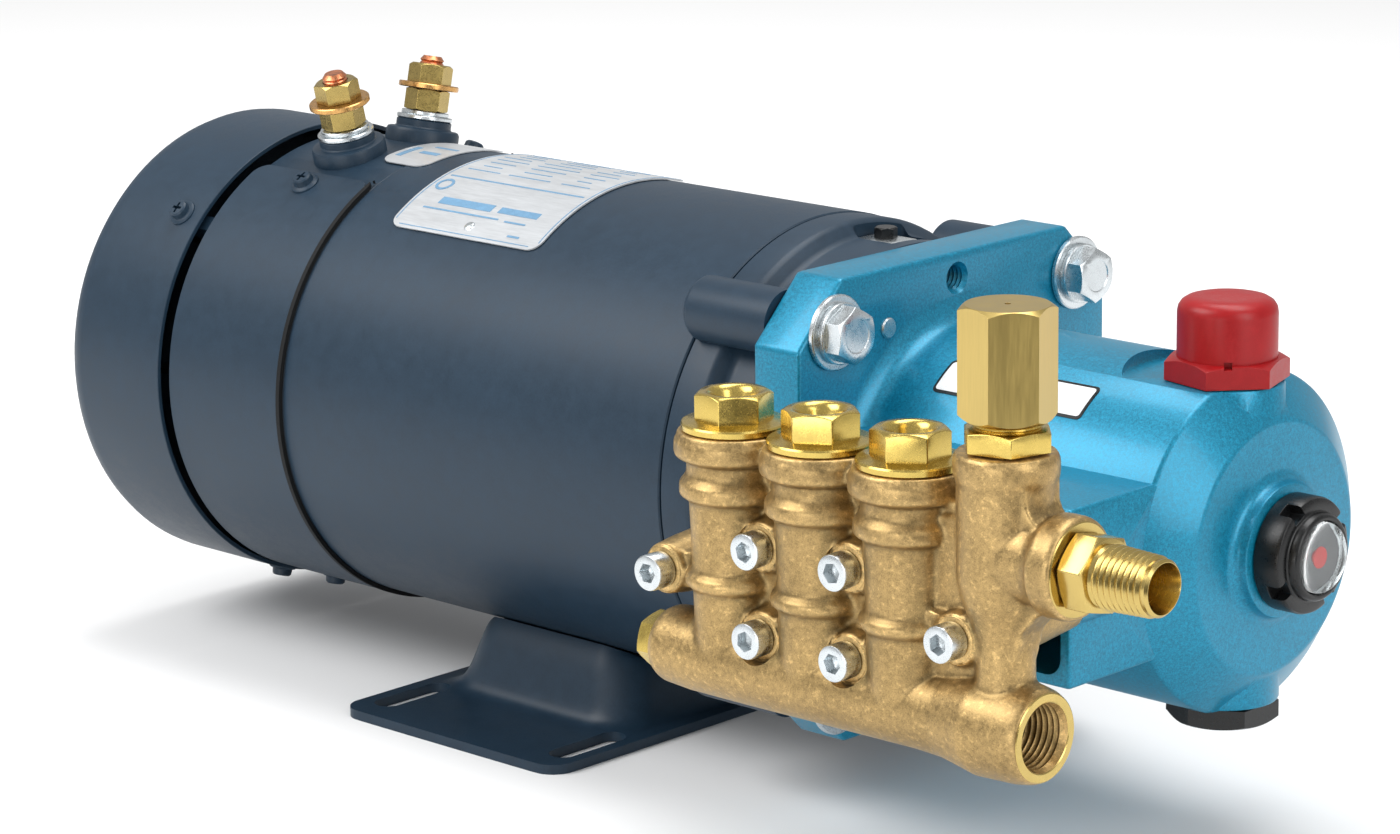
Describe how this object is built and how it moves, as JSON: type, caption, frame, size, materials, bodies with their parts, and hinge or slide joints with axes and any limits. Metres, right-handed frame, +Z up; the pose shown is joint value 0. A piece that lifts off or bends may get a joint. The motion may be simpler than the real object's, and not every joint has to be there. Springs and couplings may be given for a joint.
{
  "type": "pressure washer pump",
  "caption": "Direct-current motor close-coupled to a plunger pump with a forged brass valve manifold, foot-mounted, with screwed inlet and outlet ports.",
  "frame": {"origin": "bottom centre of the whole object's box: the underside of the motor foot, midway in X and Y", "axes": "+Z up; +X along the motor shaft from the rear hood to the sight gauge and outlet; the valve manifold is on the -Y side"},
  "size_m": [0.4814, 0.2119, 0.1862],
  "materials": {
    "motor_paint": "satin dark slate-blue paint",
    "pump_paint": "hammered turquoise-blue paint",
    "forged_brass": "dull forged brass",
    "bright_brass": "machined bright brass",
    "zinc": "zinc-plated steel",
    "steel": "bare machined steel",
    "armature": "steel laminations with copper windings",
    "ferrite": "grey ferrite",
    "carbon": "carbon brush block",
    "ceramic": "white ceramic",
    "black_plastic": "black moulded plastic",
    "red_plastic": "red moulded plastic",
    "lens": "clear domed window over a grey disc",
    "copper": "copper stud",
    "nameplate": "brushed aluminium plate",
    "foot_paint": "satin dark slate-blue paint on steel"
  },
  "bodies": {
    "housing": {"motor_shell": "motor_paint", "rear_end_bell": "motor_paint", "brush_cover_band": "motor_paint", "rear_hood": "motor_paint", "drive_end_bell": "motor_paint", "motor_foot": "foot_paint", "nameplate": "nameplate", "rear_bearing": "steel", "drive_bearing": "steel", "magnet_upper": "ferrite", "magnet_lower": "ferrite", "terminal_insulator_near": "black_plastic", "terminal_stud_near": "copper", "terminal_lower_nut_near": "bright_brass", "terminal_upper_nut_near": "bright_brass", "terminal_insulator_far": "black_plastic", "terminal_stud_far": "copper", "terminal_lower_nut_far": "bright_brass", "terminal_upper_nut_far": "bright_brass", "crankcase": "pump_paint", "sight_gauge_ring": "black_plastic", "sight_gauge_lens": "lens", "oil_drain_plug": "black_plastic", "flange_bolt_upper_near": "zinc", "flange_bolt_upper_far": "zinc", "flange_bolt_lower_near": "zinc", "flange_bolt_lower_far": "zinc", "valve_plug_1": "bright_brass", "valve_plug_2": "bright_brass", "valve_plug_3": "bright_brass", "manifold": "forged_brass", "outlet_adaptor": "bright_brass", "outlet_cap_hex": "bright_brass", "outlet_nipple": "bright_brass", "inlet_plug": "bright_brass", "manifold_screw_1": "zinc", "manifold_screw_2": "zinc", "manifold_screw_3": "zinc", "manifold_screw_4": "zinc", "manifold_screw_5": "zinc", "manifold_screw_6": "zinc"},
    "rotor": {"motor_shaft": "steel", "armature": "armature", "cooling_fan": "black_plastic", "crankshaft": "steel"},
    "plunger_1": {"connecting_rod_1": "steel", "ceramic_plunger_1": "ceramic"},
    "plunger_2": {"connecting_rod_2": "steel", "ceramic_plunger_2": "ceramic"},
    "plunger_3": {"connecting_rod_3": "steel", "ceramic_plunger_3": "ceramic"},
    "suction_valve_1": {"suction_valve_1": "steel"},
    "discharge_valve_1": {"discharge_valve_1": "steel"},
    "suction_valve_2": {"suction_valve_2": "steel"},
    "discharge_valve_2": {"discharge_valve_2": "steel"},
    "suction_valve_3": {"suction_valve_3": "steel"},
    "discharge_valve_3": {"discharge_valve_3": "steel"},
    "brush_near": {"brush_near": "carbon"},
    "brush_far": {"brush_far": "carbon"},
    "filler_cap": {"oil_filler_cap": "red_plastic"}
  },
  "joints": [
    {"name": "rotor_spin", "type": "hinge", "parent": "housing", "child": "rotor", "pos_m": [0.07645, 0.025, 0.0889], "axis": [1, 0, 0], "continuous": true},
    {"name": "plunger_1_stroke", "type": "slide", "parent": "housing", "child": "plunger_1", "axis": [0, 1, 0], "range_m": [-0.005, 0.005]},
    {"name": "plunger_2_stroke", "type": "slide", "parent": "housing", "child": "plunger_2", "axis": [0, 1, 0], "range_m": [-0.005, 0.005]},
    {"name": "plunger_3_stroke", "type": "slide", "parent": "housing", "child": "plunger_3", "axis": [0, 1, 0], "range_m": [-0.005, 0.005]},
    {"name": "suction_valve_1_lift", "type": "slide", "parent": "housing", "child": "suction_valve_1", "axis": [0, 0, 1], "range_m": [0, 0.002], "stiffness_N_per_m": 300, "springref_m": -0.003},
    {"name": "discharge_valve_1_lift", "type": "slide", "parent": "housing", "child": "discharge_valve_1", "axis": [0, 0, 1], "range_m": [0, 0.002], "stiffness_N_per_m": 300, "springref_m": -0.003},
    {"name": "suction_valve_2_lift", "type": "slide", "parent": "housing", "child": "suction_valve_2", "axis": [0, 0, 1], "range_m": [0, 0.002], "stiffness_N_per_m": 300, "springref_m": -0.003},
    {"name": "discharge_valve_2_lift", "type": "slide", "parent": "housing", "child": "discharge_valve_2", "axis": [0, 0, 1], "range_m": [0, 0.002], "stiffness_N_per_m": 300, "springref_m": -0.003},
    {"name": "suction_valve_3_lift", "type": "slide", "parent": "housing", "child": "suction_valve_3", "axis": [0, 0, 1], "range_m": [0, 0.002], "stiffness_N_per_m": 300, "springref_m": -0.003},
    {"name": "discharge_valve_3_lift", "type": "slide", "parent": "housing", "child": "discharge_valve_3", "axis": [0, 0, 1], "range_m": [0, 0.002], "stiffness_N_per_m": 300, "springref_m": -0.003},
    {"name": "brush_near_wear", "type": "slide", "parent": "housing", "child": "brush_near", "axis": [0, -1, 0], "range_m": [0, 0.006], "stiffness_N_per_m": 300, "springref_m": -0.01},
    {"name": "brush_far_wear", "type": "slide", "parent": "housing", "child": "brush_far", "axis": [0, 1, 0], "range_m": [0, 0.006], "stiffness_N_per_m": 300, "springref_m": -0.01},
    {"name": "filler_cap_lift", "type": "slide", "parent": "housing", "child": "filler_cap", "axis": [0, 0, 1], "range_m": [0, 0.012]}
  ]
}
